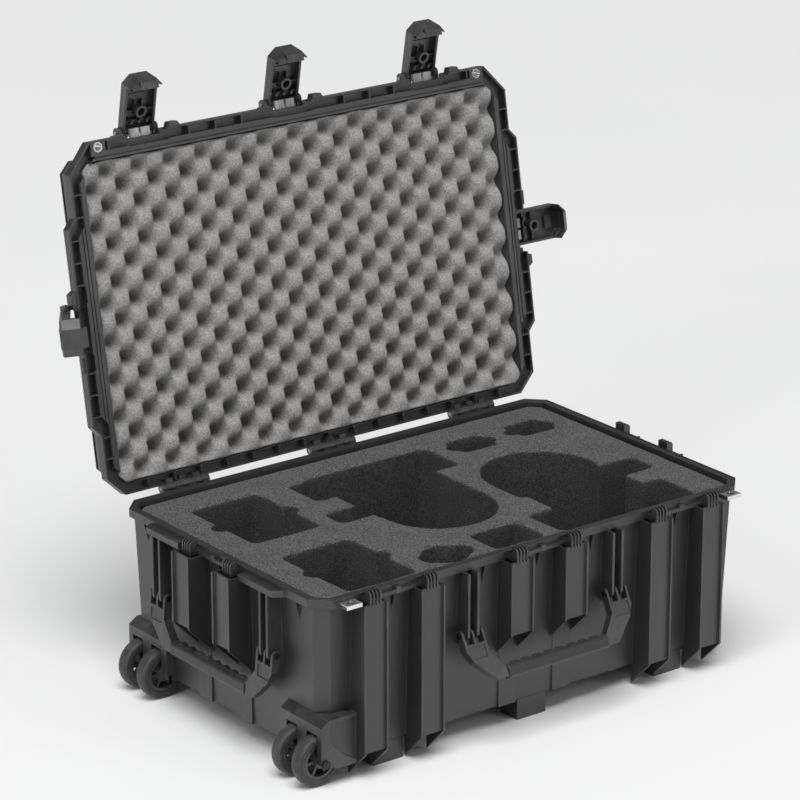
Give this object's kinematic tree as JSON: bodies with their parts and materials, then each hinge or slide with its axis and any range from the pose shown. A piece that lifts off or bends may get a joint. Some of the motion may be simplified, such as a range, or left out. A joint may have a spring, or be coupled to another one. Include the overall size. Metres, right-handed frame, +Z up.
{
  "type": "wheeled protective equipment case",
  "caption": "Wheeled hard equipment case with hinged lid, over-centre latches, folding handles, cut base foam and egg-crate lid foam, shown open.",
  "frame": {"origin": "middle of the footprint of the whole case with its lid open, on the floor", "axes": "+X along the case away from its wheels, +Y from the latch side towards the hinges, +Z up"},
  "size_m": [0.93, 0.6686, 0.8365],
  "materials": {
    "shell": "fine moulded grain, black",
    "base_foam": "closed-cell foam, dark grey",
    "lid_foam": "open-cell egg-crate foam, grey",
    "metal": "stainless steel",
    "tube": "dark anodised",
    "tyre": "soft grey wheel tread",
    "hub": "moulded",
    "grip": "soft overmould",
    "gasket": "O-ring seal",
    "pad": "light grey moulding"
  },
  "bodies": {
    "base": {"axle_back": "metal", "axle_front": "metal", "base_foam": "base_foam", "base_shell": "shell", "foam_floor_pad": "base_foam", "gasket": "gasket", "handle_pins_front": "metal", "handle_pins_left_end": "metal", "hinge_pin_1": "metal", "hinge_pin_2": "metal", "hinge_pin_3": "metal", "padlock_plate_left": "metal", "padlock_plate_right": "metal", "pull_guides": "shell", "wheel_housing_back": "shell", "wheel_housing_front": "shell"},
    "lid": {"latch_pads_front_left": "pad", "latch_pads_front_middle": "pad", "latch_pads_front_right": "pad", "latch_pads_left_end": "pad", "latch_pads_right_end": "pad", "latch_pin_front_left": "metal", "latch_pin_front_middle": "metal", "latch_pin_front_right": "metal", "latch_pin_left_end": "metal", "latch_pin_right_end": "metal", "lid_eyelet_left": "metal", "lid_eyelet_right": "metal", "lid_foam": "lid_foam", "lid_shell": "shell"},
    "latch_front_left": {"latch_lever_front_left": "shell"},
    "button_front_left": {"latch_button_front_left": "shell"},
    "latch_front_middle": {"latch_lever_front_middle": "shell"},
    "button_front_middle": {"latch_button_front_middle": "shell"},
    "latch_front_right": {"latch_lever_front_right": "shell"},
    "button_front_right": {"latch_button_front_right": "shell"},
    "latch_left_end": {"latch_lever_left_end": "shell"},
    "button_left_end": {"latch_button_left_end": "shell"},
    "latch_right_end": {"latch_lever_right_end": "shell"},
    "button_right_end": {"latch_button_right_end": "shell"},
    "handle_front": {"carry_handle_front": "shell", "carry_grip_front": "grip"},
    "handle_left_end": {"carry_handle_left_end": "shell", "carry_grip_left_end": "grip"},
    "pull_handle": {"pull_tubes": "tube", "pull_grip": "shell"},
    "wheel_front_1": {"wheel_hub_front_1": "hub", "wheel_tyre_front_1": "tyre"},
    "wheel_front_2": {"wheel_hub_front_2": "hub", "wheel_tyre_front_2": "tyre"},
    "wheel_back_1": {"wheel_hub_back_1": "hub", "wheel_tyre_back_1": "tyre"},
    "wheel_back_2": {"wheel_hub_back_2": "hub", "wheel_tyre_back_2": "tyre"}
  },
  "joints": [
    {"name": "lid_hinge", "type": "hinge", "parent": "base", "child": "lid", "pos_m": [-0.01639, 0.18913, 0.26425], "axis": [1, 0, 0], "range_deg": [0, 100]},
    {"name": "latch_front_left_pivot", "type": "hinge", "parent": "lid", "child": "latch_front_left", "pos_m": [-0.26439, 0.30751, 0.75277], "axis": [1, 0, 0], "range_deg": [-20, 70]},
    {"name": "button_front_left_press", "type": "slide", "parent": "latch_front_left", "child": "button_front_left", "axis": [0, -0.9848, -0.1736], "range_m": [0, 0.003], "stiffness_N_per_m": 400},
    {"name": "latch_front_middle_pivot", "type": "hinge", "parent": "lid", "child": "latch_front_middle", "pos_m": [-0.01639, 0.30751, 0.75277], "axis": [1, 0, 0], "range_deg": [-20, 70]},
    {"name": "button_front_middle_press", "type": "slide", "parent": "latch_front_middle", "child": "button_front_middle", "axis": [0, -0.9848, -0.1736], "range_m": [0, 0.003], "stiffness_N_per_m": 400},
    {"name": "latch_front_right_pivot", "type": "hinge", "parent": "lid", "child": "latch_front_right", "pos_m": [0.23161, 0.30751, 0.75277], "axis": [1, 0, 0], "range_deg": [-20, 70]},
    {"name": "button_front_right_press", "type": "slide", "parent": "latch_front_right", "child": "button_front_right", "axis": [0, -0.9848, -0.1736], "range_m": [0, 0.003], "stiffness_N_per_m": 400},
    {"name": "latch_left_end_pivot", "type": "hinge", "parent": "lid", "child": "latch_left_end", "pos_m": [-0.41364, 0.26305, 0.50065], "axis": [0, 0.1736, 0.9848], "range_deg": [-57, 33]},
    {"name": "button_left_end_press", "type": "slide", "parent": "latch_left_end", "child": "button_left_end", "axis": [0.8387, -0.5364, 0.0946], "range_m": [0, 0.003], "stiffness_N_per_m": 400},
    {"name": "latch_right_end_pivot", "type": "hinge", "parent": "lid", "child": "latch_right_end", "pos_m": [0.38086, 0.26305, 0.50065], "axis": [0, -0.1736, -0.9848], "range_deg": [-2, 88]},
    {"name": "button_right_end_press", "type": "slide", "parent": "latch_right_end", "child": "button_right_end", "axis": [-0.0349, -0.9842, 0.1735], "range_m": [0, 0.003], "stiffness_N_per_m": 400},
    {"name": "handle_front_pivot", "type": "hinge", "parent": "base", "child": "handle_front", "pos_m": [-0.01639, -0.29527, 0.163], "axis": [1, 0, 0], "range_deg": [-50, 25]},
    {"name": "handle_left_pivot", "type": "hinge", "parent": "base", "child": "handle_left_end", "pos_m": [-0.39639, -0.05652, 0.163], "axis": [0, -1, 0], "range_deg": [-72, 3]},
    {"name": "pull_handle_slide", "type": "slide", "parent": "base", "child": "pull_handle", "axis": [1, 0, 0], "range_m": [0, 0.38]},
    {"name": "wheel_front_1_spin", "type": "hinge", "parent": "base", "child": "wheel_front_1", "pos_m": [-0.38465, -0.27322, 0.0364], "axis": [0, 1, 0], "continuous": true},
    {"name": "wheel_front_2_spin", "type": "hinge", "parent": "base", "child": "wheel_front_2", "pos_m": [-0.38465, -0.22822, 0.0364], "axis": [0, 1, 0], "continuous": true},
    {"name": "wheel_back_1_spin", "type": "hinge", "parent": "base", "child": "wheel_back_1", "pos_m": [-0.38465, 0.09378, 0.0364], "axis": [0, 1, 0], "continuous": true},
    {"name": "wheel_back_2_spin", "type": "hinge", "parent": "base", "child": "wheel_back_2", "pos_m": [-0.38465, 0.13878, 0.0364], "axis": [0, 1, 0], "continuous": true}
  ]
}
